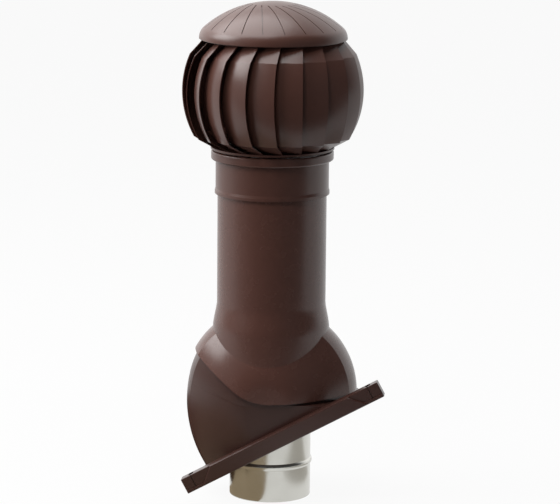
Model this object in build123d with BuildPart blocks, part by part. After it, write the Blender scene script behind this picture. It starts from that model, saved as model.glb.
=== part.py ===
from build123d import *
import os
from math import atan2, cos, degrees, radians, sin, sqrt, tan

# Insulated roof ventilation pipe with a wind-driven head, on a base for a pitched roof.
# Millimetres, +Z up the pipe. The origin is the lower end of the steel pipe, on its axis.
# +X points up the roof slope, and the pipe tilts on its base about an axis along Y.

# Steel duct through the middle
steel_radius = 60.0
steel_wall = 0.8
steel_top = 498.0
bead_height = 52.0
bead_rise = 2.2
bead_half_width = 5.0

# Outer pipe and its insulation
pipe_radius = 80.0
pipe_wall = 4.0
foot_radius = 86.0
flare_top = 292.0
flare_bend = 280.0
flare_bend_radius = 82.6
flare_bottom = 252.0
fit_gap = 0.05
insulation_bottom = 300.0

# Tilting foot: a saddle of revolution about the tilt axis
pivot_height = 157.0
saddle_radius = 128.0
saddle_wall = 3.5
band_half_width = 44.0
cheek_depth = 97.0
cheek_mid_radius = 80.0
cheek_mid_depth = 76.0
cheek_angle = 54.0
cheek_mid_angle = 27.0
pole_radius = 24.0
saddle_left_slope = 26.0
saddle_right_slope = 7.6
saddle_apex_x = 7.6
saddle_apex_drop = 7.0
saddle_apex_radius = 90.0
slide_gap = 0.6

# Roof base
roof_pitch = 28.5
tilt_back = 20.0
tilt_on = 3.0
roof_drop = 66.0
base_wall = 3.5
skirt_draft = 6.0
slot_gap = 4.0
ledge_drop = 10.0
pan_thickness = 3.0
pan_half_length = 162.0
pan_near = 104.0
pan_straight = 60.0
pan_back_reach = 175.0
rail_height = 23.5
rail_width = 14.0
rail_edge_radius = 2.0
ear_length = 42.0
ear_width = 20.0
ear_slot_inset = 16.0
ear_slot_width = 8.0
ear_slot_length = 13.0
ear_groove = 1.6
pad_proud = 4.0
pad_bottom_half = 137.0
pad_top_half = 113.0
lip_proud = 2.0
lip_height = 5.0

# Neck collar and the bracket that carries the shaft
sleeve_bottom = 453.5
sleeve_wall = 3.0
lip_flare = 1.1
lip_band = 4.0
flange_radius = 89.7
flange_bottom = 503.5
flange_top = 517.0
flange_round = 2.5
neck_radius = 76.0
ledge_height = 508.0
ledge_radius = 80.0
bracket_thickness = 3.0
bracket_ring_width = 7.0
bracket_arm_width = 12.0
bracket_hub_radius = 15.0
bracket_arms = 3

# Shaft, bearings and hub
shaft_radius = 5.96
shaft_bottom = 500.9
shaft_collar_radius = 10.0
shaft_collar_height = 5.0
shaft_step_radius = 8.5
shaft_step_height = 6.0
nut_half_width = 9.5
nut_height = 6.5
washer_radius = 12.0
washer_thickness = 1.5
run_gap = 0.3
bearing_bore = 6.0
bearing_radius = 16.0
bearing_height = 10.0
bearing_race = 3.4
bearing_recess = 0.8
lower_bearing_bottom = 560.0
upper_bearing_top = 700.0
hub_radius = 20.0
hub_shoulder = 2.5
hub_flange_radius = 38.0
hub_flange_thickness = 4.0
hub_flange_bottom = 700.0
hub_screw_circle = 30.0
hub_screw_radius = 2.5
hub_screw_head_radius = 4.5
hub_screw_head_height = 3.0
hub_screw_depth = 8.0
hub_screws_count = 4
ring_thickness = 2.0
ring_radius = 10.0

# Turbine blades and the rings that hold them
blade_count = 20
blade_thickness = 1.4
blade_offset = 42.0
blade_turn = 20.0
blade_start = -84.5
bulge_radius = 132.2
bulge_height = 603.0
shoulder_radius = 121.0
shoulder_height = 658.0
kink_radius = 115.0
kink_height = 537.0
blade_top_radius = 103.0
blade_foot_radius = 89.5
bottom_ring_gap = 2.5
bottom_ring_thickness = 3.0
bottom_ring_inner = 71.0
bottom_ring_margin = 1.0
top_ring_bottom = 679.0
top_ring_thickness = 2.5
top_ring_inner = 84.0

# Cap with its pinwheel of stepped ribs
cap_radius = 107.0
cap_rim = 680.0
cap_apex = 734.0
cap_sphere = 154.0
cap_wall = 2.2
rib_offset = 8.5
rib_tangent = 18.0
rib_inner = 32.0
rib_lean = 32.0
rib_start = -83.5
boss_outer = 36.0
boss_inner = 24.0

os.makedirs("parts", exist_ok=True)
slope = Vector(cos(radians(roof_pitch)), 0, sin(radians(roof_pitch)))
normal = Vector(-sin(radians(roof_pitch)), 0, cos(radians(roof_pitch)))
pivot = Vector(0, 0, pivot_height)
tilt_axis = Axis(pivot, (0, -1, 0))
roof = Plane(origin=pivot - normal * roof_drop, x_dir=slope, z_dir=normal)
side = Plane(origin=pivot, x_dir=(1, 0, 0), z_dir=(0, -1, 0))
meridian = Plane.XZ
far = 400.0


def finish(piece, name):
    piece.part.label = name
    export_step(piece.part, f"parts/{name}.step")


# Plane through the tilt axis, with its x axis pointing out from the pivot.
def spoke(direction):
    return Plane(origin=pivot, x_dir=direction, z_dir=direction.cross(Vector(0, 1, 0)))


# The lens-shaped section that the foot and the base drum share: a flat band at each rim and
# curved cheeks between them. One hand gives the half section that is turned round the tilt
# axis, two hands give the whole outline. An inset takes every wall inwards by that amount.
def lens_section(plane, inset, hands):
    depth = cheek_depth - inset
    rim = saddle_radius - inset
    half_width = band_half_width - inset * tan(radians(cheek_angle / 2))
    middle = cheek_mid_radius - inset * sin(radians(cheek_mid_angle))
    middle_depth = cheek_mid_depth - inset * cos(radians(cheek_mid_angle))
    turn = (sin(radians(cheek_angle)), cos(radians(cheek_angle)))
    with BuildSketch(plane) as section:
        with BuildLine():
            for hand in hands:
                for way in (1, -1):
                    Line((0, way * depth), (hand * pole_radius, way * depth))
                    Spline(
                        (hand * pole_radius, way * depth),
                        (hand * middle, way * middle_depth),
                        (hand * rim, way * half_width),
                        tangents=((hand, 0), (hand * turn[0], -way * turn[1])),
                    )
                Line((hand * rim, half_width), (hand * rim, -half_width))
            if len(hands) == 1:
                Line((0, depth), (0, -depth))
        make_face()
    return section.sketch


# The whole lens, its seam pointing straight down where the foot is cut away.
def lens_solid(inset):
    with BuildPart() as lens:
        revolve(lens_section(spoke(Vector(0, 0, -1)), inset, (1,)), axis=tilt_axis)
    return lens.part


# Prism along the tilt axis that keeps what lies above the foot's lower edge.
with BuildPart() as foot_keep:
    with BuildSketch(side) as keep:
        left_rise = tan(radians(saddle_left_slope)) * far
        right_rise = tan(radians(saddle_right_slope)) * far
        Polygon(
            (saddle_apex_x, -saddle_apex_drop),
            (saddle_apex_x + far, right_rise - saddle_apex_drop),
            (saddle_apex_x + far, far),
            (saddle_apex_x - far, far),
            (saddle_apex_x - far, left_rise - saddle_apex_drop),
            align=None,
        )
        fillet(keep.vertices().sort_by(Axis.Y)[0], saddle_apex_radius)
    extrude(amount=far, both=True)

# Roof base: a drum on a thin pan, moulded in one with the side rail and its two ears
base_inset = saddle_wall + slide_gap
swing_reach = steel_radius + slot_gap


# Drum under the foot: the lens itself where the foot slides, and drafted skirt walls below
# the line that the foot's lower edge reaches on the steepest roof.
def drum_solid(inset):
    ledge = ledge_drop + inset - base_inset
    down = spoke(-slope)
    lowest = radians(saddle_right_slope - tilt_on)
    with BuildPart() as skirt:
        top = lens_section(down.offset(ledge), inset, (1, -1))
        foot = lens_section(down.offset(roof_drop), inset - roof_drop * tan(radians(skirt_draft)), (1, -1))
        loft([top, foot], ruled=True)
        split(
            bisect_by=Plane(
                origin=pivot + Vector(sin(lowest), 0, -cos(lowest)) * ledge,
                x_dir=(0, 1, 0),
                z_dir=(-sin(lowest), 0, cos(lowest)),
            ),
            keep=Keep.BOTTOM,
        )
    with BuildPart() as drum:
        add(lens_solid(inset))
        split(bisect_by=roof, keep=Keep.TOP)
        add(skirt.part)
    return drum.part


# Space that the steel duct sweeps as the pipe tilts, from the steepest roof to the flattest.
with BuildPart() as swing:
    lean_on = radians(90 - tilt_on)
    lean_back = radians(90 + tilt_back)
    with BuildSketch(side):
        Polygon(
            (swing_reach * sin(lean_on), -swing_reach * cos(lean_on)),
            (swing_reach * sin(lean_on) + far * cos(lean_on), far * sin(lean_on)),
            (-swing_reach * sin(lean_back) + far * cos(lean_back), far * sin(lean_back)),
            (-swing_reach * sin(lean_back), swing_reach * cos(lean_back)),
            align=None,
        )
    extrude(amount=swing_reach, both=True)

with BuildPart() as roof_base:
    with BuildSketch(roof):
        with BuildLine():
            Polyline(
                (-pan_half_length, -pan_straight),
                (-pan_half_length, -pan_near),
                (pan_half_length, -pan_near),
                (pan_half_length, -pan_straight),
            )
            EllipticalCenterArc((0, -pan_straight), pan_half_length, pan_back_reach, 0, arc_size=180)
        make_face()
    extrude(amount=pan_thickness)
    with BuildSketch(roof):
        with Locations((0, rail_width / 2 - pan_near)):
            Rectangle(2 * pan_half_length, rail_width)
        ear_x = pan_half_length - ear_length / 2
        with Locations((ear_x, ear_width / 2 - pan_near), (-ear_x, ear_width / 2 - pan_near)):
            Rectangle(ear_length, ear_width)
    extrude(amount=rail_height)
    with BuildSketch(Plane(origin=roof.from_local_coords((0, -pan_near, 0)), x_dir=slope, z_dir=(0, -1, 0))):
        Polygon(
            (-pad_bottom_half, 0),
            (pad_bottom_half, 0),
            (pad_top_half, rail_height),
            (-pad_top_half, rail_height),
            align=None,
        )
    extrude(amount=pad_proud)
    with BuildSketch(roof):
        with Locations((0, -pan_near - lip_proud / 2)):
            Rectangle(2 * pan_half_length, lip_proud)
    extrude(amount=lip_height)
    add(drum_solid(base_inset))
    add(drum_solid(base_inset + base_wall), mode=Mode.SUBTRACT)
    add(swing.part, mode=Mode.SUBTRACT)
    with BuildSketch(roof):
        slot_x = pan_half_length - ear_slot_inset
        with Locations((slot_x, ear_width / 2 - pan_near), (-slot_x, ear_width / 2 - pan_near)):
            SlotOverall(ear_slot_length, ear_slot_width, rotation=90)
    extrude(amount=rail_height, mode=Mode.SUBTRACT)
    with BuildSketch(roof.offset(lip_height)):
        with Locations((slot_x, -pan_near), (-slot_x, -pan_near)):
            Rectangle(ear_groove, 2 * ear_groove)
    extrude(amount=rail_height, mode=Mode.SUBTRACT)
finish(roof_base, "roof_base")

# Outer pipe with its flared foot and saddle, one moulding
pipe_bore = pipe_radius - pipe_wall
with BuildPart() as outer_pipe:
    add(lens_solid(0))
    add(foot_keep.part, mode=Mode.INTERSECT)
    with BuildSketch(meridian):
        with BuildLine():
            Polyline((foot_radius, flare_bottom), (foot_radius, pivot_height), (0, pivot_height))
            Line((0, pivot_height), (0, steel_top))
            Polyline((0, steel_top), (pipe_radius, steel_top), (pipe_radius, flare_top))
            Spline(
                (pipe_radius, flare_top),
                (flare_bend_radius, flare_bend),
                (foot_radius, flare_bottom),
                tangents=((0, -1), (0.05, -1)),
            )
        make_face()
    revolve(axis=Axis.Z)
    add(lens_solid(saddle_wall), mode=Mode.SUBTRACT)
    with BuildSketch(Plane.XY.offset(pivot_height)):
        Circle(pipe_bore)
    extrude(amount=far, mode=Mode.SUBTRACT)
finish(outer_pipe, "outer_pipe")

# Steel duct with its rolled bead
with BuildPart() as inner_steel_pipe:
    with BuildSketch(meridian):
        with BuildLine():
            Line((steel_radius, 0), (steel_radius, bead_height - bead_half_width))
            ThreePointArc(
                (steel_radius, bead_height - bead_half_width),
                (steel_radius + bead_rise, bead_height),
                (steel_radius, bead_height + bead_half_width),
            )
            Polyline(
                (steel_radius, bead_height + bead_half_width),
                (steel_radius, steel_top),
                (steel_radius - steel_wall, steel_top),
                (steel_radius - steel_wall, 0),
                (steel_radius, 0),
            )
        make_face()
    revolve(axis=Axis.Z)
finish(inner_steel_pipe, "inner_steel_pipe")

# Foam sleeve between the duct and the pipe
with BuildPart() as insulation_sleeve:
    with BuildSketch(Plane.XY.offset(insulation_bottom)):
        Circle(pipe_bore - fit_gap)
        Circle(steel_radius + fit_gap, mode=Mode.SUBTRACT)
    extrude(amount=steel_top - insulation_bottom)
finish(insulation_sleeve, "insulation_sleeve")

# Neck collar: a sleeve over the pipe's end, with a flange and a ledge for the bracket
sleeve_inner = pipe_radius + fit_gap
sleeve_outer = pipe_radius + sleeve_wall
with BuildPart() as neck_collar:
    with BuildSketch(meridian):
        Polygon(
            (sleeve_inner, sleeve_bottom),
            (sleeve_outer + lip_flare, sleeve_bottom),
            (sleeve_outer + lip_flare, sleeve_bottom + lip_band),
            (sleeve_outer, sleeve_bottom + 2 * lip_band),
            (sleeve_outer, flange_bottom),
            (flange_radius, flange_bottom),
            (flange_radius, flange_top),
            (ledge_radius, flange_top),
            (ledge_radius, ledge_height),
            (neck_radius, ledge_height),
            (neck_radius, steel_top),
            (sleeve_inner, steel_top),
            align=None,
        )
    revolve(axis=Axis.Z)
    rim = neck_collar.edges().filter_by(GeomType.CIRCLE).filter_by(
        lambda e: abs(e.radius - flange_radius) < fit_gap
    )
    fillet(rim, flange_round)
finish(neck_collar, "neck_collar")

# Three-armed bracket that drops onto the collar's ledge
with BuildPart() as shaft_bracket:
    ring_outer = ledge_radius - fit_gap
    with BuildSketch(Plane.XY.offset(ledge_height)):
        Circle(ring_outer)
        Circle(ring_outer - bracket_ring_width, mode=Mode.SUBTRACT)
        Circle(bracket_hub_radius)
        arm_length = ring_outer - bracket_ring_width / 2
        with PolarLocations(arm_length / 2, bracket_arms):
            Rectangle(arm_length, bracket_arm_width)
        Circle(shaft_radius + fit_gap, mode=Mode.SUBTRACT)
    extrude(amount=bracket_thickness)
finish(shaft_bracket, "shaft_bracket")

# Fixed shaft, with a collar on the bracket and a step under the lower bearing
bracket_top = ledge_height + bracket_thickness
shaft_top = hub_flange_bottom + hub_flange_thickness + ring_thickness
step_top = lower_bearing_bottom - run_gap
with BuildPart() as rotor_shaft:
    with BuildSketch(meridian):
        Polygon(
            (0, shaft_bottom),
            (shaft_radius, shaft_bottom),
            (shaft_radius, bracket_top),
            (shaft_collar_radius, bracket_top),
            (shaft_collar_radius, bracket_top + shaft_collar_height),
            (shaft_radius, bracket_top + shaft_collar_height),
            (shaft_radius, step_top - shaft_step_height),
            (shaft_step_radius, step_top - shaft_step_height),
            (shaft_step_radius, step_top),
            (shaft_radius, step_top),
            (shaft_radius, shaft_top),
            (0, shaft_top),
            align=None,
        )
    revolve(axis=Axis.Z)
finish(rotor_shaft, "rotor_shaft")

# Washer and nut that clamp the shaft under the bracket
with BuildPart() as shaft_washer:
    with BuildSketch(Plane.XY.offset(ledge_height)):
        Circle(washer_radius)
        Circle(shaft_radius + fit_gap, mode=Mode.SUBTRACT)
    extrude(amount=-washer_thickness)
finish(shaft_washer, "shaft_washer")

with BuildPart() as shaft_nut:
    with BuildSketch(Plane.XY.offset(ledge_height - washer_thickness)):
        RegularPolygon(nut_half_width, 6, major_radius=False)
        Circle(shaft_radius + fit_gap / 2, mode=Mode.SUBTRACT)
    extrude(amount=shaft_bottom + fit_gap - ledge_height + washer_thickness)
finish(shaft_nut, "shaft_nut")

# Retaining ring at the shaft's top end
with BuildPart() as shaft_ring:
    with BuildSketch(Plane.XY.offset(upper_bearing_top + run_gap)):
        Circle(ring_radius)
        Circle(shaft_radius + fit_gap / 2, mode=Mode.SUBTRACT)
    extrude(amount=ring_thickness)
finish(shaft_ring, "shaft_ring")

# Two ball bearings, their races shown by a shallow groove in each face
for bearing_name, bearing_bottom in (
    ("lower_bearing", lower_bearing_bottom),
    ("upper_bearing", upper_bearing_top - bearing_height),
):
    with BuildPart() as bearing:
        with BuildSketch(Plane.XY.offset(bearing_bottom)):
            Circle(bearing_radius - fit_gap)
            Circle(bearing_bore, mode=Mode.SUBTRACT)
        extrude(amount=bearing_height)
        for face_height in (bearing_bottom, bearing_bottom + bearing_height - bearing_recess):
            with BuildSketch(Plane.XY.offset(face_height)):
                Circle(bearing_radius - bearing_race)
                Circle(bearing_bore + bearing_race, mode=Mode.SUBTRACT)
            extrude(amount=bearing_recess, mode=Mode.SUBTRACT)
    finish(bearing, bearing_name)

# Rotor hub: a tube round the bearings, with a flange under the cap's boss
hub_flange_top = hub_flange_bottom + hub_flange_thickness
with BuildPart() as rotor_hub:
    with BuildSketch(meridian):
        Polygon(
            (bearing_radius, lower_bearing_bottom),
            (hub_radius, lower_bearing_bottom),
            (hub_radius, hub_flange_bottom),
            (hub_flange_radius, hub_flange_bottom),
            (hub_flange_radius, hub_flange_top),
            (bearing_radius, hub_flange_top),
            (bearing_radius, upper_bearing_top - bearing_height),
            (bearing_radius - hub_shoulder, upper_bearing_top - bearing_height),
            (bearing_radius - hub_shoulder, lower_bearing_bottom + bearing_height),
            (bearing_radius, lower_bearing_bottom + bearing_height),
            align=None,
        )
    revolve(axis=Axis.Z)
    with PolarLocations(hub_screw_circle, hub_screws_count):
        with Locations((0, 0, hub_flange_bottom)):
            Cylinder(
                hub_screw_radius + fit_gap,
                hub_flange_thickness,
                align=(Align.CENTER, Align.CENTER, Align.MIN),
                mode=Mode.SUBTRACT,
            )
finish(rotor_hub, "rotor_hub")

# Screws from the hub's flange up into the cap's boss
with BuildPart() as hub_screws:
    with BuildSketch(Plane.XY.offset(hub_flange_bottom)):
        with PolarLocations(hub_screw_circle, hub_screws_count):
            Circle(hub_screw_head_radius)
    extrude(amount=-hub_screw_head_height)
    with BuildSketch(Plane.XY.offset(hub_flange_bottom)):
        with PolarLocations(hub_screw_circle, hub_screws_count):
            Circle(hub_screw_radius)
    extrude(amount=hub_flange_thickness + hub_screw_depth)
finish(hub_screws, "hub_screws")

# Rings that the blades stand on and hang from
bottom_ring_bottom = flange_top + bottom_ring_gap
blade_bottom = bottom_ring_bottom + bottom_ring_thickness
with BuildPart() as rotor_bottom_ring:
    with BuildSketch(Plane.XY.offset(bottom_ring_bottom)):
        Circle(blade_foot_radius + bottom_ring_margin)
        Circle(bottom_ring_inner, mode=Mode.SUBTRACT)
    extrude(amount=bottom_ring_thickness)
finish(rotor_bottom_ring, "rotor_bottom_ring")

with BuildPart() as rotor_top_ring:
    with BuildSketch(Plane.XY.offset(top_ring_bottom)):
        Circle(cap_radius - cap_wall - fit_gap)
        Circle(top_ring_inner, mode=Mode.SUBTRACT)
    extrude(amount=top_ring_thickness)
finish(rotor_top_ring, "rotor_top_ring")

# Blades: the bulb's meridian turned about an axis beside the shaft, so that each blade's
# leading edge stands on the bulb and its body dips in behind its neighbour's edge.
blade_lean = atan2(blade_offset, bulge_radius)


# Distance from a blade's own axis at which its leading edge meets the bulb's given radius.
def blade_reach(bulb_radius):
    across = blade_offset * cos(blade_lean)
    return blade_offset * sin(blade_lean) + sqrt(bulb_radius**2 - across**2)


for blade_index in range(blade_count):
    blade_angle = blade_start + 360 * blade_index / blade_count
    blade_centre = Vector(0, blade_offset, 0).rotate(Axis.Z, blade_angle)
    blade_out = Vector(cos(blade_lean), -sin(blade_lean), 0).rotate(Axis.Z, blade_angle)
    blade_plane = Plane(origin=blade_centre, x_dir=blade_out, z_dir=blade_out.cross(Vector(0, 0, 1)))
    with BuildPart() as blade:
        with BuildSketch(blade_plane):
            with BuildLine():
                for shift in (0, blade_thickness):
                    Line(
                        (blade_reach(blade_top_radius) - shift, top_ring_bottom),
                        (blade_reach(shoulder_radius) - shift, shoulder_height),
                    )
                    ThreePointArc(
                        (blade_reach(shoulder_radius) - shift, shoulder_height),
                        (blade_reach(bulge_radius) - shift, bulge_height),
                        (blade_reach(kink_radius) - shift, kink_height),
                    )
                    Line(
                        (blade_reach(kink_radius) - shift, kink_height),
                        (blade_reach(blade_foot_radius) - shift, blade_bottom),
                    )
                for bulb_radius, height in ((blade_top_radius, top_ring_bottom), (blade_foot_radius, blade_bottom)):
                    reach = blade_reach(bulb_radius)
                    Line((reach, height), (reach - blade_thickness, height))
            make_face()
        revolve(axis=Axis(blade_centre, (0, 0, -1)), revolution_arc=blade_turn)
    finish(blade, f"blade_{blade_index + 1:02d}")

# Dome with a short upright rim, about an upright axis through the given point.
def cap_solid(centre, inset):
    sphere = cap_sphere - inset
    edge = cap_radius - inset
    top = cap_apex - inset
    with BuildPart() as cap:
        with BuildSketch(Plane(origin=centre, x_dir=(1, 0, 0), z_dir=(0, -1, 0))):
            with BuildLine():
                shoulder = top - sphere + sqrt(sphere**2 - edge**2)
                midway = top - sphere + sqrt(sphere**2 - edge**2 / 4)
                Polyline((0, top), (0, cap_rim), (edge, cap_rim), (edge, shoulder))
                ThreePointArc((edge, shoulder), (edge / 2, midway), (0, top))
            make_face()
        revolve(axis=Axis(centre, (0, 0, 1)))
    return cap.part


# Stepped rib: the dome moved sideways, cut to the wedge between two lines that run past the
# axis, so that it stands proud along its leading line and fades out behind.
def rib_solid(angle):
    inner = sqrt(rib_inner**2 - rib_tangent**2)
    lead = (Vector(inner, -rib_tangent), Vector(far, -rib_tangent))
    trail = [point.rotate(Axis.Z, -360 / blade_count) for point in lead]
    with BuildPart() as rib:
        add(cap_solid(Vector(0, rib_offset, 0).rotate(Axis.Z, angle - rib_lean), 0))
        with BuildSketch(Plane.XY.offset(cap_rim)):
            corners = [point.rotate(Axis.Z, angle) for point in (lead[0], lead[1], trail[1], trail[0])]
            Polygon(*[(corner.X, corner.Y) for corner in corners], align=None)
        extrude(amount=far, mode=Mode.INTERSECT)
    return rib.part


# Cap with its pinwheel of ribs and the boss that the hub is screwed to
with BuildPart() as rotor_cap:
    add(cap_solid(Vector(0, 0, 0), 0))
    for rib_index in range(blade_count):
        add(rib_solid(rib_start + 360 * rib_index / blade_count))
    add(cap_solid(Vector(0, 0, 0), cap_wall), mode=Mode.SUBTRACT)
    with BuildSketch(Plane.XY.offset(hub_flange_top)):
        Circle(boss_outer)
        Circle(boss_inner, mode=Mode.SUBTRACT)
    extrude(until=Until.NEXT)
    with BuildSketch(Plane.XY.offset(hub_flange_top)):
        with PolarLocations(hub_screw_circle, hub_screws_count):
            Circle(hub_screw_radius + fit_gap)
    extrude(amount=hub_screw_depth + fit_gap, mode=Mode.SUBTRACT)
finish(rotor_cap, "rotor_cap")
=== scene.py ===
import math

import bmesh
import bpy
from mathutils import Matrix, Vector
from mathutils.geometry import interpolate_bezier


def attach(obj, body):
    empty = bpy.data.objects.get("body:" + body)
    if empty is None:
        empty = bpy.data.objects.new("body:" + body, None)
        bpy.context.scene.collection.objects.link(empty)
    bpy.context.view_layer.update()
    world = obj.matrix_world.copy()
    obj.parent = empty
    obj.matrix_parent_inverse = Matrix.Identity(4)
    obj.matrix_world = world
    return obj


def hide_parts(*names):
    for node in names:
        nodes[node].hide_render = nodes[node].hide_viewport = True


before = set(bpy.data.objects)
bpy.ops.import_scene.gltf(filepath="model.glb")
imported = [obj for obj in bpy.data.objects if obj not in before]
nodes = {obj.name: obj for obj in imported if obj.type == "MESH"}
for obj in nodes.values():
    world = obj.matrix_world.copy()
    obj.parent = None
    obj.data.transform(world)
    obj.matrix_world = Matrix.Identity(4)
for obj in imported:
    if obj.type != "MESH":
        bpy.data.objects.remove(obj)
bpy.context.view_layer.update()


# Roof base: one injection moulding in brown polypropylene, screwed to the roof through the
# slots in its ears. Its drum and rail are smooth and satin, with the faint orange peel and
# slow shade changes that a large moulding has.
class Wire:
    """A shader socket. Sums on it add Math nodes, and node() adds any other node to its tree."""

    def __init__(self, socket):
        self.socket = socket
        self.tree = socket.id_data

    def node(self, kind, settings, sockets, output=0):
        made = self.tree.nodes.new(kind)
        for name, value in settings.items():
            setattr(made, name, value)
        for name, value in sockets.items():
            if isinstance(value, Wire):
                self.tree.links.new(value.socket, made.inputs[name])
            else:
                made.inputs[name].default_value = value
        return Wire(made.outputs[output])

    def math(self, operation, first, second):
        return self.node("ShaderNodeMath", {"operation": operation}, {0: first, 1: second})

    def __add__(self, other):
        return self.math("ADD", self, other)

    def __mul__(self, other):
        return self.math("MULTIPLY", self, other)

    __radd__ = __add__
    __rmul__ = __mul__

    def noise(self, scale, detail=2.0):
        return self.node("ShaderNodeTexNoise", {}, {"Vector": self, "Scale": scale, "Detail": detail})

    def blend(self, share, first, second):
        settings = {"data_type": "RGBA", "blend_type": "MIX"}
        return self.node("ShaderNodeMix", settings, {0: share, 6: first, 7: second}, 2)

    def bump(self, height, strength, distance):
        sockets = {"Height": height, "Strength": strength, "Distance": distance}
        return self.node("ShaderNodeBump", {}, sockets)


def screen_colour(red, green, blue):
    """A colour as it shows on screen, from 0 to 255, as the linear values that a shader takes."""
    shown = [value / 255 for value in (red, green, blue)]
    return [*[v / 12.92 if v < 0.04045 else ((v + 0.055) / 1.055) ** 2.4 for v in shown], 1.0]


def plain_finish(name, sockets):
    """A material with one shader, whose named sockets hold one value all over, and that shader."""
    material = bpy.data.materials.new(name)
    material.use_nodes = True
    shader = material.node_tree.nodes["Principled BSDF"]
    for socket, value in sockets.items():
        shader.inputs[socket].default_value = value
    return material, shader


def new_finish(name, sockets):
    """A material, its shader and the wire of its Object coordinates, for a finish that varies."""
    material, shader = plain_finish(name, sockets)
    coordinates = material.node_tree.nodes.new("ShaderNodeTexCoord")
    return material, shader, Wire(coordinates.outputs["Object"])


def feed(shader, **wires):
    for socket, wire in wires.items():
        wire.tree.links.new(wire.socket, shader.inputs[socket.replace("_", " ").title()])


def moulded_brown(name, shade, gloss):
    """Chocolate brown moulded plastic: shade lightens it, and gloss is its roughness."""
    material, shader, place = new_finish(name, {})
    slow = place.noise(9.0, 3.0)
    cloud = place.noise(55.0, 4.0)
    peel = place.noise(420.0, 1.0)
    dark = screen_colour(66 + 12 * shade, 42 + 9 * shade, 36 + 8 * shade)
    light = screen_colour(77 + 12 * shade, 50 + 9 * shade, 43 + 8 * shade)
    feed(
        shader,
        base_color=place.blend(slow * 0.6 + cloud * 0.4, dark, light),
        roughness=gloss + cloud * 0.06,
        normal=place.bump(peel, 0.03, 0.0003),
    )
    return material


pivot = Vector((0.0, 0.0, 0.157))
roof_pitch = math.radians(28.5)
slope = Vector((math.cos(roof_pitch), 0.0, math.sin(roof_pitch)))
normal = Vector((-math.sin(roof_pitch), 0.0, math.cos(roof_pitch)))
pivot_rise = 0.066
roof = pivot - normal * pivot_rise
foot_wall = 0.005
slide_gap = 0.0006
drum_inset = foot_wall + slide_gap
drum_wall = 0.0035
turn_steps = 180


def placed(name, build):
    """A bmesh as an object of the scene."""
    mesh = bpy.data.meshes.new(name)
    build.to_mesh(mesh)
    build.free()
    made = bpy.data.objects.new(name, mesh)
    bpy.context.scene.collection.objects.link(made)
    return made


def solid(name, build):
    """A closed bmesh as an object of the scene, its faces turned outwards."""
    bmesh.ops.recalc_face_normals(build, faces=build.faces)
    return placed(name, build)


def turned(name, profile, centre, axis):
    """A solid of revolution: a row of points that starts and ends on the axis, turned about it."""
    build = bmesh.new()
    row = [build.verts.new(point) for point in profile]
    edges = [build.edges.new(pair) for pair in zip(row, row[1:])]
    bmesh.ops.spin(
        build, geom=row + edges, cent=centre, axis=axis, angle=math.tau, steps=turn_steps, use_merge=True
    )
    bmesh.ops.remove_doubles(build, verts=build.verts, dist=1e-6)
    return solid(name, build)


def draw_out(build, faces, depth):
    """Gives flat faces a depth along a vector."""
    drawn = bmesh.ops.extrude_face_region(build, geom=faces)["geom"]
    corners = [part for part in drawn if isinstance(part, bmesh.types.BMVert)]
    bmesh.ops.translate(build, vec=depth, verts=corners)


def prism(name, corners, depth, bevel=0.0):
    """A flat outline drawn out along a vector, its edges bevelled where a width is given."""
    build = bmesh.new()
    draw_out(build, [build.faces.new([build.verts.new(corner) for corner in corners])], depth)
    if bevel:
        bmesh.ops.bevel(
            build, geom=build.edges[:], offset=bevel, segments=2, profile=0.5, affect="EDGES", material=-1
        )
    return solid(name, build)


def block(name, low, high, bevel=0.0):
    """A box between two corners, given along the roof's slope, across it and up from it."""
    across = [(low[0], low[1]), (high[0], low[1]), (high[0], high[1]), (low[0], high[1])]
    corners = [roof + slope * x + Vector((0.0, y, 0.0)) + normal * low[2] for x, y in across]
    return prism(name, corners, normal * (high[2] - low[2]), bevel)


def combine(target, tool, operation):
    """Joins the tool to the target, takes it away or keeps what both share, and drops the tool."""
    step = target.modifiers.new(operation, "BOOLEAN")
    step.operation = operation
    step.solver = "EXACT"
    step.object = tool
    bpy.context.view_layer.update()
    worked = target.evaluated_get(bpy.context.evaluated_depsgraph_get())
    shape = bpy.data.meshes.new_from_object(worked)
    target.modifiers.clear()
    target.data = shape
    bpy.data.objects.remove(tool)
    return target


lens_radius = 0.128
lens_depth = 0.092
pole_radius = 0.024
cheek_radius = 0.075
cheek_depth = 0.0747
cheek_outward = (0.515, 0.857)
crease_radius = 0.1195
crease_depth = 0.036
crease_outward = (0.839, 0.545)
cheek_run = Vector((0.643, -0.766, 0.0))
band_run = Vector((0.447, -0.894, 0.0))


def lens(name, centre, inset, reach):
    """The lens that foot and drum share, about an axis along Y: a crowned band and curved cheeks."""
    pole = Vector((pole_radius + reach, lens_depth - inset, 0.0))
    middle = Vector((
        cheek_radius + reach - cheek_outward[0] * inset,
        cheek_depth - cheek_outward[1] * inset,
        0.0,
    ))
    crease = Vector((
        crease_radius + reach - crease_outward[0] * inset,
        crease_depth - crease_outward[1] * inset,
        0.0,
    ))
    rim = Vector((lens_radius + reach - inset, 0.0, 0.0))
    knots = [
        (pole, Vector((1.0, 0.0, 0.0)), middle, (crease - pole).normalized(), 14),
        (middle, (crease - pole).normalized(), crease, cheek_run, 12),
        (crease, band_run, rim, Vector((0.0, -1.0, 0.0)), 8),
    ]
    half = [Vector((0.0, pole.y, 0.0)), pole]
    for start, out, end, onward, count in knots:
        handle = (end - start).length / 3
        half += interpolate_bezier(start, start + out * handle, end - onward * handle, end, count)[1:]
    whole = half + [Vector((point.x, -point.y, 0.0)) for point in reversed(half[:-1])]
    return turned(name, [centre + point for point in whole], centre, (0.0, 1.0, 0.0))


edge_left = math.radians(36)
edge_right = math.radians(3.6)
edge_setback = 0.0209
edge_drop = 0.0035
edge_tangent = 0.0324
edge_handle = 0.0209
edge_points = 17
beyond = 0.4


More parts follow.
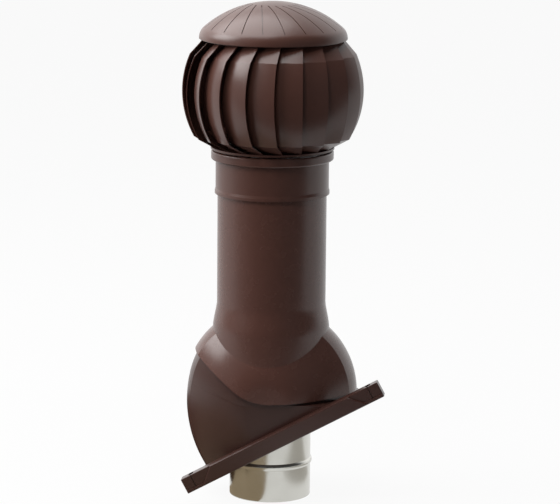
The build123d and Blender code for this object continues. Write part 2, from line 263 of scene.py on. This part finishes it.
def above_edge(name, tilt, drop):
    """Everything above the foot's lower edge, with the foot tilted and the edge lowered."""
    turn = math.radians(tilt)
    along = Vector((math.cos(turn), 0.0, math.sin(turn)))
    up = Vector((-math.sin(turn), 0.0, math.cos(turn)))
    left = up * math.sin(edge_left) - along * math.cos(edge_left)
    right = up * math.sin(edge_right) + along * math.cos(edge_right)
    apex = pivot - along * edge_setback - up * (edge_drop + drop) - Vector((0.0, beyond / 2, 0.0))
    start = apex + left * edge_tangent
    end = apex + right * edge_tangent
    handles = (start - left * edge_handle, end - right * edge_handle)
    outline = [apex + left * beyond, *interpolate_bezier(start, *handles, end, edge_points)]
    outline += [apex + right * beyond, apex + right * beyond + up * beyond]
    outline.append(apex + left * beyond + up * beyond)
    return prism(name, outline, Vector((0.0, beyond, 0.0)))


foot_tilts = (-3, 8, 20)
travel_gap = 0.001
belly_offset = Vector((0.0631, 0.0, -0.0157))
belly_reach = 0.065
belly_end = 0.092
clear_wide = 0.3
clear_long = 0.5


def drum(name, inset):
    """The base's drum: the lens that guides the foot, with a belly that swells down the roof."""
    drop = travel_gap + inset - drum_inset
    belly = lens("belly", pivot + belly_offset, inset, belly_reach)
    past_end = (belly_end - drop, -clear_wide, -clear_wide), (clear_long, clear_wide, 2 * clear_wide)
    combine(belly, block("uphill", *past_end), "DIFFERENCE")
    for tilt in foot_tilts:
        combine(belly, above_edge("travel", tilt, drop), "DIFFERENCE")
    guide = combine(lens(name, pivot, inset, 0.0), belly, "UNION")
    under_roof = (-clear_long, -clear_wide, -clear_long), (clear_long, clear_wide, 0.0)
    return combine(guide, block("roof", *under_roof), "DIFFERENCE")


crease_angle = math.radians(11)


def finish_form(piece, material, body, node):
    piece.data.shade_smooth()
    piece.data.set_sharp_from_angle(angle=crease_angle)
    piece.data.materials.clear()
    piece.data.materials.append(material)
    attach(piece, body)
    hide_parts(node)


base = drum("base_form", drum_inset)

pan_uphill = 0.116
pan_downhill = 0.152
pan_near = 0.1
pan_far = 0.115
pan_thickness = 0.003
pan_points = 96
pan_line = []
for step in range(pan_points):
    angle = math.tau * step / pan_points
    reach = pan_uphill if math.cos(angle) > 0 else pan_downhill
    width = pan_far if math.sin(angle) > 0 else pan_near
    pan_line.append(roof + slope * reach * math.cos(angle) + Vector((0.0, width * math.sin(angle), 0.0)))
combine(base, prism("pan", pan_line, normal * pan_thickness), "UNION")

rail_half = 0.162
rail_near = 0.104
rail_back = 0.086
rail_height = 0.0235
rail_bevel = 0.0012
rail = block("rail", (-rail_half, -rail_near, 0.0), (rail_half, -rail_back, rail_height), rail_bevel)
combine(base, rail, "UNION")

ear_start = 0.120
ear_end = 0.1615
ear_near = 0.100
ear_back = 0.084
ear_foot = 0.0005
ear_top = 0.0232
for side in (-1, 1):
    low, high = sorted((side * ear_start, side * ear_end))
    ear = block("ear", (low, -ear_near, ear_foot), (high, -ear_back, ear_top), rail_bevel)
    combine(base, ear, "UNION")

pad_back = 0.1025
pad_lift = 0.0008
pad_foot_half = 0.137
pad_top_half = 0.113
pad_height = 0.0225
pad_depth = 0.005
pad_bevel = 0.0015
pad_foot = roof + Vector((0.0, -pad_back, 0.0)) + normal * pad_lift
pad_line = [pad_foot - slope * pad_foot_half, pad_foot + slope * pad_foot_half]
pad_line.append(pad_foot + slope * pad_top_half + normal * pad_height)
pad_line.append(pad_foot - slope * pad_top_half + normal * pad_height)
combine(base, prism("pad", pad_line, Vector((0.0, -pad_depth, 0.0)), pad_bevel), "UNION")

lip_near = 0.106
lip_back = 0.102
lip_foot = 0.0004
lip_top = 0.005
lip_bevel = 0.0008
lip = block("lip", (-ear_end, -lip_near, lip_foot), (ear_end, -lip_back, lip_top), lip_bevel)
combine(base, lip, "UNION")
combine(base, drum("hollow", drum_inset + drum_wall), "DIFFERENCE")

# The duct swings in a stepped slot in the drum, narrower where it reaches further.
swing_steps = ((0.028, 0.0625), (0.048, 0.0545), (0.0625, 0.038))
for width, reach in swing_steps:
    swing_line = []
    for tilt, side in ((foot_tilts[0], 1), (foot_tilts[-1], -1)):
        lean = math.radians(90 + tilt)
        foot = pivot + Vector((side * reach * math.sin(lean), -width, -side * reach * math.cos(lean)))
        head = foot + Vector((math.cos(lean), 0.0, math.sin(lean))) * beyond
        swing_line += [foot, head] if side > 0 else [head, foot]
    combine(base, prism("swing", swing_line, Vector((0.0, 2 * width, 0.0))), "DIFFERENCE")

slot_along = 0.146
slot_across = 0.094
slot_radius = 0.004
slot_straight = 0.0025
slot_points = 24
slot_below = 0.01
slot_depth = 0.05
groove_half = 0.0008
groove_near = 0.108
groove_back = 0.1024
groove_foot = 0.005
groove_top = 0.03
for side in (-1, 1):
    slot_line = []
    for step in range(slot_points):
        angle = math.tau * (step + 0.5) / slot_points
        along = side * slot_along + slot_radius * math.cos(angle)
        across = slot_radius * math.sin(angle) + math.copysign(slot_straight, math.sin(angle))
        on_roof = roof + slope * along + Vector((0.0, across - slot_across, 0.0))
        slot_line.append(on_roof - normal * slot_below)
    combine(base, prism("ear_slot", slot_line, normal * slot_depth), "DIFFERENCE")
    low = (side * slot_along - groove_half, -groove_near, groove_foot)
    high = (side * slot_along + groove_half, -groove_back, groove_top)
    combine(base, block("ear_groove", low, high), "DIFFERENCE")
# The base's brown is painted darker than the pipe's, rotor's and cap's browns: painted shade for the drum,
# whose faces turn down away from the light above.
shaded_base_brown = moulded_brown("shaded_base_brown", shade=-1.4, gloss=0.27)
finish_form(base, shaded_base_brown, "base", "roof_base")


# Outer pipe: the pipe, its flared neck and the lens-shaped foot in one moulding that sits on
# the drum and slides on it. It is the same plastic as the base and a little glossier, and the
# base's brown is painted darker than it as painted shade on the drum.
def beside_axis(points):
    """Points of a turned profile, given by their distance from the axis and their height."""
    return [Vector((across, 0.0, height)) for across, height in points]


upright = (0.0, 0.0, 1.0)
run_radius = 0.08
run_top = 0.498
neck_radius = 0.086
neck_flare = ((neck_radius, 0.252), (0.0856, 0.266), (0.0803, 0.281), (run_radius, 0.292))
flare_points = 12
bore_radius = 0.076
bore_foot = 0.16
bore_top = 0.6
pipe_brown = moulded_brown("pipe_brown", shade=0.25, gloss=0.24)
pipe = combine(lens("pipe_form", pivot, 0.0, 0.0), above_edge("foot_edge", 0, 0.0), "INTERSECT")
run_line = beside_axis([(0.0, pivot.z), (neck_radius, pivot.z)])
run_line += interpolate_bezier(*beside_axis(neck_flare), flare_points)
run_line += beside_axis([(run_radius, run_top), (0.0, run_top)])
combine(pipe, turned("run", run_line, Vector(), upright), "UNION")
combine(pipe, lens("foot_inside", pivot, foot_wall, 0.0), "DIFFERENCE")
bore_line = beside_axis([(0.0, bore_foot), (bore_radius, bore_foot)])
bore_line += beside_axis([(bore_radius, bore_top), (0.0, bore_top)])
combine(pipe, turned("bore", bore_line, Vector(), upright), "DIFFERENCE")
finish_form(pipe, pipe_brown, "pipe", "outer_pipe")


# Neck collar: a sleeve with a flange, moulded in the same brown and pushed on over the pipe's
# top end.
def dress(material, *names):
    for name in names:
        mesh = nodes[name].data
        mesh.materials.clear()
        mesh.materials.append(material)


collar_brown = moulded_brown("collar_brown", shade=0.1, gloss=0.26)
dress(collar_brown, "neck_collar")

# Duct: bright steel sheet rolled into a tube, with one bead near its lower end. Fine rolling
# streaks run round it.
duct_steel, shader, place = new_finish("duct_steel", {"Metallic": 1.0})
round_streaks = place.node("ShaderNodeMapping", {}, {"Vector": place, "Scale": (6.0, 6.0, 900.0)})
streak = round_streaks.noise(1.0, 3.0)
smudge = place.noise(30.0, 4.0)
feed(
    shader,
    base_color=place.blend(smudge, screen_colour(196, 195, 188), screen_colour(214, 213, 207)),
    roughness=0.16 + streak * 0.10 + smudge * 0.05,
    normal=place.bump(streak, 0.03, 0.0002),
)
dress(duct_steel, "inner_steel_pipe")

# Insulation: a sleeve of pale foam between the duct and the pipe, cut square at both ends and
# held by its own fit.
foam, shader, place = new_finish("foam", {})
cell_settings = {"feature": "DISTANCE_TO_EDGE"}
cells = place.node("ShaderNodeTexVoronoi", cell_settings, {"Vector": place, "Scale": 700.0})
feed(
    shader,
    base_color=place.blend(place.noise(60.0), screen_colour(205, 203, 196), screen_colour(226, 224, 218)),
    roughness=0.85 + place.noise(90.0) * 0.1,
    normal=place.bump(cells, 0.5, 0.0006),
)
dress(foam, "insulation_sleeve")

# Bracket, shaft, bearings and fasteners: bright zinc-plated and turned steel, with fine rings
# round it. The bracket lies on the collar's ledge and carries the shaft.
turned_steel, shader, place = new_finish("turned_steel", {"Metallic": 1.0})
rings = place.node("ShaderNodeMapping", {}, {"Vector": place, "Scale": (40.0, 40.0, 2500.0)})
feed(
    shader,
    base_color=place.blend(place.noise(120.0), screen_colour(176, 176, 172), screen_colour(206, 206, 203)),
    roughness=0.25 + rings.noise(1.0) * 0.15,
    normal=place.bump(rings.noise(1.0), 0.08, 0.0002),
)
dress(turned_steel, "rotor_shaft", "shaft_washer", "shaft_nut", "shaft_ring", "hub_screws",
      "lower_bearing", "upper_bearing", "shaft_bracket")

# Rotor: a hub, two rings and twenty curved blades between them, all in the same brown plastic.
# It turns on the bearings.
rotor_brown = moulded_brown("rotor_brown", shade=0.0, gloss=0.27)
blade_names = [name for name in nodes if name.startswith("blade_")]
dress(rotor_brown, "rotor_hub", "rotor_top_ring", "rotor_bottom_ring", *blade_names)


# Cap: a brown dome with a rolled rim and a pinwheel of twenty fine grooves, moulded with the
# boss below it that the hub is screwed to.
dome_radius = 0.154
dome_centre = 0.58
dome_edge = 0.1015
dome_lean = 0.66
dome_points = 24
dome_wall = 0.0024
rim_radius = 0.108
rim_foot = 0.6803
rim_fall = Vector((0.752, 0.0, -0.659))
rim_handle = 0.006
rim_points = 9


def dome_line(inset):
    """Half the dome's outline, from its top to its rim, drawn in by a distance."""
    sphere = dome_radius - inset
    edge = dome_edge - dome_lean * inset
    line = []
    for step in range(dome_points + 1):
        across = edge * step / dome_points
        line.append(Vector((across, 0.0, dome_centre + math.sqrt(sphere**2 - across**2))))
    rim = Vector((rim_radius - inset, 0.0, rim_foot))
    handles = (line[-1] + rim_fall * rim_handle, rim + Vector((0.0, 0.0, rim_handle)))
    line += interpolate_bezier(line[-1], *handles, rim, rim_points)[1:]
    return line


cap = turned("cap_form", dome_line(0.0) + dome_line(dome_wall)[::-1], Vector(), upright)
boss_inner = 0.024
boss_outer = 0.036
boss_foot = 0.704
boss_line = [(boss_inner, boss_foot), (boss_outer, boss_foot), (boss_outer, 0.7286), (boss_inner, 0.731)]
boss = turned("boss", beside_axis([*boss_line, boss_line[0]]), Vector(), upright)
combine(cap, boss, "UNION")

groove_count = 20
first_groove = -83.5
groove_start = 0.0265
groove_end = 0.099
groove_sides = (-0.0187, -0.0173)
groove_depth = 0.0012
plate_foot = 0.65
plate_height = 0.12
core_foot = 0.6
build = bmesh.new()
plates = []
for groove in range(groove_count):
    turn = Matrix.Rotation(math.radians(360 / groove_count * groove + first_groove), 4, "Z")
    plan = [(groove_start, groove_sides[0]), (groove_end, groove_sides[0])]
    plan += [(groove_end, groove_sides[1]), (groove_start, groove_sides[1])]
    plates.append(build.faces.new([build.verts.new(turn @ Vector((x, y, plate_foot))) for x, y in plan]))
draw_out(build, plates, (0.0, 0.0, plate_height))
grooves = solid("grooves", build)
core = dome_line(groove_depth) + beside_axis([(rim_radius - groove_depth, core_foot), (0.0, core_foot)])
combine(grooves, turned("core", core, Vector(), upright), "DIFFERENCE")
combine(cap, grooves, "DIFFERENCE")
finish_form(cap, moulded_brown("cap_brown", shade=0.15, gloss=0.3), "rotor", "rotor_cap")


# Floor: one pale sheet that runs far behind the object and ends in front of it. It shows as
# white to the eye and in reflections, and still takes the object's shadow.
def staged_sheet(name, low, high, height):
    """A level rectangle of the studio, from its low to its high corner."""
    outline = bmesh.new()
    bmesh.ops.create_grid(outline, x_segments=1, y_segments=1, size=0.5)
    bmesh.ops.scale(outline, vec=(high[0] - low[0], high[1] - low[1], 1.0), verts=outline.verts)
    middle = ((low[0] + high[0]) / 2, (low[1] + high[1]) / 2, height)
    bmesh.ops.translate(outline, vec=middle, verts=outline.verts)
    sheet = placed(name, outline)
    return sheet


floor = staged_sheet("floor", low=(-9.0, -0.6), high=(9.0, 14.4), height=0.0)
floor_sockets = {"Base Color": (0.4, 0.4, 0.4, 1.0), "Roughness": 0.9}
floor_white, shader = plain_finish("floor_white", floor_sockets)
tree = floor_white.node_tree
rays = tree.nodes.new("ShaderNodeLightPath")
seen = Wire(rays.outputs["Is Camera Ray"]) + Wire(rays.outputs["Is Glossy Ray"])
seen = seen + Wire(rays.outputs["Is Transmission Ray"])
glow = seen.node("ShaderNodeEmission", {}, {"Color": (1.0, 1.0, 1.0, 1.0), "Strength": 1.0})
glow_share = 0.93
mixed = seen.node("ShaderNodeMixShader", {}, {0: seen * glow_share, 1: Wire(shader.outputs[0]), 2: glow})
tree.links.new(mixed.socket, tree.nodes["Material Output"].inputs["Surface"])
floor.data.materials.append(floor_white)

# Cards: a brown, a dark and a grey one laid on the floor beside the duct, which only the steel
# and the plastic's gloss reflect.
card_height = 0.001
for name, low, high, colour in (
    ("brown_card", (-0.75, -0.45), (-0.012, 0.02), screen_colour(158, 142, 118)),
    ("dark_card", (-0.75, 0.02), (-0.10, 0.6), screen_colour(62, 46, 34)),
    ("grey_card", (0.13, -0.18), (0.75, 0.10), screen_colour(185, 182, 176)),
):
    card = staged_sheet(name, low, high, card_height)
    card_sockets = {"Base Color": (0.0, 0.0, 0.0, 1.0), "Specular IOR Level": 0.0}
    card_sockets.update({"Emission Color": colour, "Emission Strength": 1.0})
    card.data.materials.append(plain_finish(name, card_sockets)[0])
    card.visible_camera = False
    card.visible_diffuse = False
    card.visible_shadow = False

# Studio: a white sweep behind, a dim room in front and a soft glow at the left. Five softboxes
# light the object, and of these the gloss shows only the top one and the one on its left cheek.
world = bpy.data.worlds.new("studio")
bpy.context.scene.world = world
world.use_nodes = True
tree = world.node_tree
background = tree.nodes["Background"]
rays = tree.nodes.new("ShaderNodeLightPath")
way = Wire(tree.nodes.new("ShaderNodeTexCoord").outputs["Generated"])


def rise(value, start, end, high):
    """A smooth step from nothing at the start to its high value at the end."""
    settings = {"interpolation_type": "SMOOTHSTEP"}
    ends = {"Value": value, "From Min": start, "From Max": end, "To Min": 0.0, "To Max": high}
    return value.node("ShaderNodeMapRange", settings, ends)


across = way.node("ShaderNodeSeparateXYZ", {}, {"Vector": way}, 0)
ahead = way.node("ShaderNodeSeparateXYZ", {}, {"Vector": way}, 1)
back = rise(ahead, start=0.05, end=0.6, high=1.15)
left = rise(across, start=0.1, end=-0.8, high=0.26) * rise(ahead, start=-0.95, end=-0.2, high=1.0)
dim_room = 0.06
eye = Wire(rays.outputs["Is Camera Ray"])
strength = eye.math("MAXIMUM", eye, back + left + dim_room)
tree.links.new(strength.socket, background.inputs["Strength"])
background.inputs["Color"].default_value = (1.0, 1.0, 1.0, 1.0)

for name, place, target, size, power in (
    ("left_softbox", (-2.7, -1.5, 1.5), (0.0, 0.0, 0.4), (1.8, 2.2), 50.0),
    ("cheek_softbox", (-2.5, -0.1, 2.1), (0.0, 0.0, 0.3), (1.9, 1.5), 60.0),
    ("front_softbox", (-0.5, -2.0, 3.0), (0.0, 0.0, 0.4), (0.8, 0.8), 34.0),
    ("right_softbox", (2.2, -2.2, 1.2), (0.0, 0.0, 0.4), (1.8, 2.4), 11.0),
    ("top_softbox", (-0.9, 0.3, 2.7), (-0.3, 0.1, 0.5), (2.4, 2.6), 75.0),
):
    lamp = bpy.data.lights.new(name, "AREA")
    lamp.shape = "RECTANGLE"
    lamp.size, lamp.size_y = size
    lamp.energy = power
    holder = bpy.data.objects.new(name, lamp)
    bpy.context.scene.collection.objects.link(holder)
    holder.location = place
    holder.visible_glossy = name in ("top_softbox", "cheek_softbox")
    holder.rotation_euler = (Vector(target) - Vector(place)).to_track_quat("-Z", "Y").to_euler()

# Camera: a long lens, a little uphill of the tilt axis and looking down on the object, turned
# and rolled to the photograph's frame.
photo_width = 560
focal_pixels = 2955.0
camera_azimuth = math.radians(4.8)
camera_distance = 4.266
camera_height = 1.1915
pitch = math.radians(10.97)
yaw = math.radians(0.165)
roll = math.radians(0.5)
camera = bpy.data.cameras.new("camera")
camera.sensor_width = 36.0
camera.lens = focal_pixels / photo_width * camera.sensor_width
camera.clip_end = 60.0
viewer = bpy.data.objects.new("camera", camera)
bpy.context.scene.collection.objects.link(viewer)
spot = Vector((math.sin(camera_azimuth), -math.cos(camera_azimuth), 0.0)) * camera_distance
spot.z = camera_height
viewer.matrix_world = (
    Matrix.Translation(spot)
    @ Matrix.Rotation(camera_azimuth - yaw, 4, "Z")
    @ Matrix.Rotation(math.pi / 2 - pitch, 4, "X")
    @ Matrix.Rotation(roll, 4, "Z")
)
bpy.context.scene.camera = viewer
bpy.context.scene.view_settings.view_transform = "Standard"
